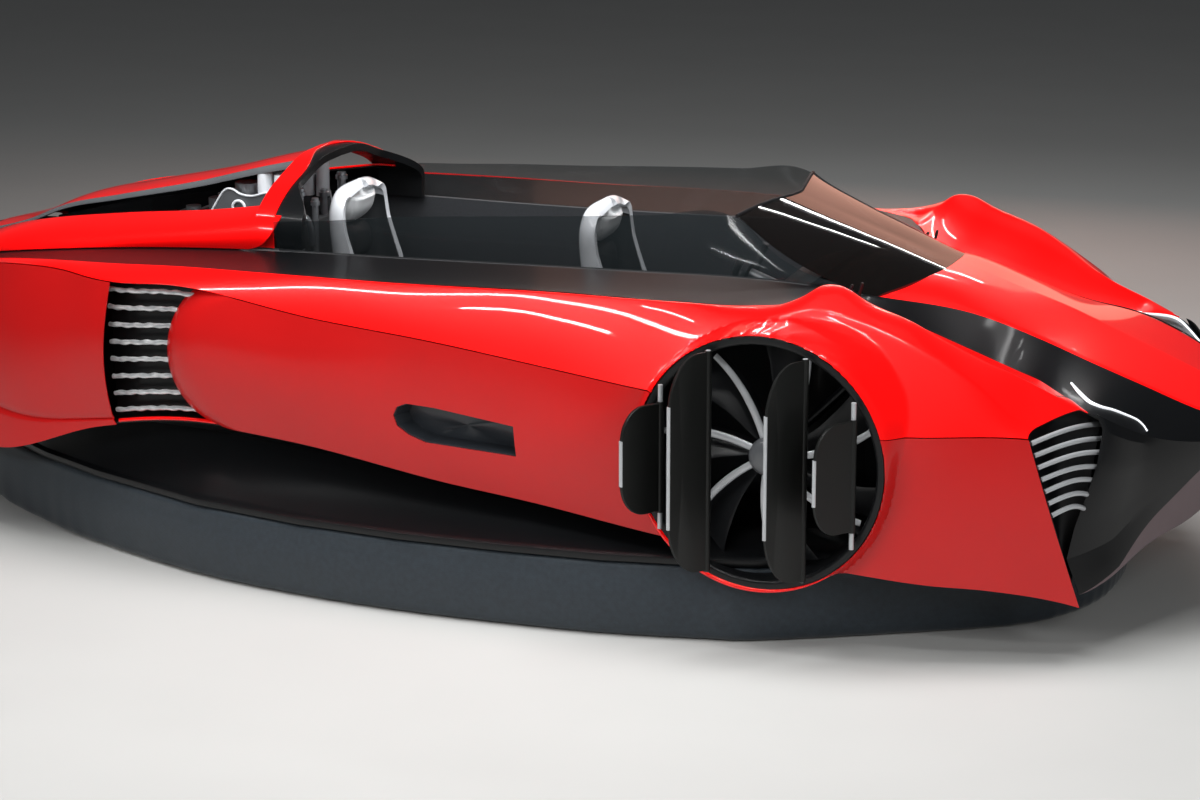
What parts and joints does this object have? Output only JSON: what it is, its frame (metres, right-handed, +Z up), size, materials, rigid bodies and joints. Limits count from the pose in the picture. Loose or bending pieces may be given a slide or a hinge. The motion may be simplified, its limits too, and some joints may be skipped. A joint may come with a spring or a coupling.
{
  "type": "sports hovercraft",
  "caption": "Open sports hovercraft on a skirt, with side pods, transverse ducted fans behind turning vanes, bucket seats in line and a roll arch.",
  "frame": {"origin": "middle of the bounding box's bottom, on the floor", "axes": "+X to the bow, +Y to port, +Z up"},
  "size_m": [5.28, 2.6864, 1.44],
  "materials": {
    "gloss_red": "gloss red lacquer",
    "deep_red": "gloss deep red lacquer",
    "gloss_black": "gloss black lacquered composite",
    "skirt_rubber": "coated skirt fabric",
    "dark_grey": "matt",
    "liner": "matt",
    "carbon": "grey lacquered composite",
    "tinted_glass": "dark tint",
    "silver": "polished",
    "seat_shell": "white hide on a moulded shell",
    "vane_black": "black anodised",
    "engine_alloy": "machined",
    "lamp_white": "clear white lens",
    "tail_red": "red lens"
  },
  "bodies": {
    "craft": {"arch": "gloss_red", "arch_lining": "gloss_black", "bonnet": "gloss_red", "cockpit_tub": "liner", "dash": "liner", "duct_left": "gloss_black", "duct_right": "gloss_black", "engine_bay": "liner", "engine_block": "engine_alloy", "foredeck": "gloss_black", "front_grille_left": "silver", "front_grille_right": "silver", "hull": "gloss_black", "landing_skid_left": "dark_grey", "landing_skid_right": "dark_grey", "light_blade_left": "lamp_white", "light_blade_right": "lamp_white", "nose": "gloss_black", "pod_side_left": "deep_red", "pod_side_right": "deep_red", "pod_top_left": "gloss_red", "pod_top_right": "gloss_red", "rail_left": "carbon", "rail_right": "carbon", "rear_grille_left": "silver", "rear_grille_right": "silver", "rear_side_left": "deep_red", "rear_side_right": "deep_red", "rear_vent_well_left": "gloss_black", "rear_vent_well_right": "gloss_black", "seat_front": "seat_shell", "seat_rear": "seat_shell", "shoulder_left": "gloss_red", "shoulder_right": "gloss_red", "side_glass_left": "tinted_glass", "side_glass_right": "tinted_glass", "skirt": "skirt_rubber", "spine": "gloss_red", "tail_lamp": "tail_red", "tail_panel": "gloss_black", "waist_strip_left": "gloss_black", "waist_strip_right": "gloss_black", "windshield": "tinted_glass"},
    "fan_left": {"fan_left": "silver"},
    "fan_right": {"fan_right": "silver"},
    "steering_yoke": {"steering_yoke": "liner"},
    "vane_left_1": {"vane_left_1": "vane_black"},
    "vane_left_2": {"vane_left_2": "vane_black"},
    "vane_left_3": {"vane_left_3": "vane_black"},
    "vane_left_4": {"vane_left_4": "vane_black"},
    "vane_right_1": {"vane_right_1": "vane_black"},
    "vane_right_2": {"vane_right_2": "vane_black"},
    "vane_right_3": {"vane_right_3": "vane_black"},
    "vane_right_4": {"vane_right_4": "vane_black"}
  },
  "joints": [
    {"name": "fan_left_spin", "type": "hinge", "parent": "craft", "child": "fan_left", "pos_m": [1.027, 1.03, 0.672], "axis": [0, 1, 0], "continuous": true},
    {"name": "vane_left_1_turn", "type": "hinge", "parent": "craft", "child": "vane_left_1", "pos_m": [0.683, 1.204, 0.672], "axis": [0, 0, -1], "range_deg": [-40, 35]},
    {"name": "vane_left_2_turn", "type": "hinge", "parent": "craft", "child": "vane_left_2", "pos_m": [0.855, 1.204, 0.672], "axis": [0, 0, -1], "range_deg": [-40, 35]},
    {"name": "vane_left_3_turn", "type": "hinge", "parent": "craft", "child": "vane_left_3", "pos_m": [1.199, 1.204, 0.672], "axis": [0, 0, -1], "range_deg": [-40, 35]},
    {"name": "vane_left_4_turn", "type": "hinge", "parent": "craft", "child": "vane_left_4", "pos_m": [1.371, 1.204, 0.672], "axis": [0, 0, -1], "range_deg": [-40, 35]},
    {"name": "fan_right_spin", "type": "hinge", "parent": "craft", "child": "fan_right", "pos_m": [1.027, -1.03, 0.672], "axis": [0, -1, 0], "continuous": true},
    {"name": "vane_right_1_turn", "type": "hinge", "parent": "craft", "child": "vane_right_1", "pos_m": [0.683, -1.204, 0.672], "axis": [0, 0, 1], "range_deg": [-40, 35]},
    {"name": "vane_right_2_turn", "type": "hinge", "parent": "craft", "child": "vane_right_2", "pos_m": [0.855, -1.204, 0.672], "axis": [0, 0, 1], "range_deg": [-40, 35]},
    {"name": "vane_right_3_turn", "type": "hinge", "parent": "craft", "child": "vane_right_3", "pos_m": [1.199, -1.204, 0.672], "axis": [0, 0, 1], "range_deg": [-40, 35]},
    {"name": "vane_right_4_turn", "type": "hinge", "parent": "craft", "child": "vane_right_4", "pos_m": [1.371, -1.204, 0.672], "axis": [0, 0, 1], "range_deg": [-40, 35]},
    {"name": "yoke_turn", "type": "hinge", "parent": "craft", "child": "steering_yoke", "pos_m": [0.6, 0, 1.065], "axis": [-0.9397, 0, 0.3419], "range_deg": [-100, 100]}
  ],
  "couplings": [
    {"joint": "vane_left_2_turn", "follows": "vane_left_1_turn", "ratio": 1},
    {"joint": "vane_left_3_turn", "follows": "vane_left_1_turn", "ratio": 1},
    {"joint": "vane_left_4_turn", "follows": "vane_left_1_turn", "ratio": 1},
    {"joint": "vane_right_2_turn", "follows": "vane_right_1_turn", "ratio": 1},
    {"joint": "vane_right_3_turn", "follows": "vane_right_1_turn", "ratio": 1},
    {"joint": "vane_right_4_turn", "follows": "vane_right_1_turn", "ratio": 1}
  ]
}
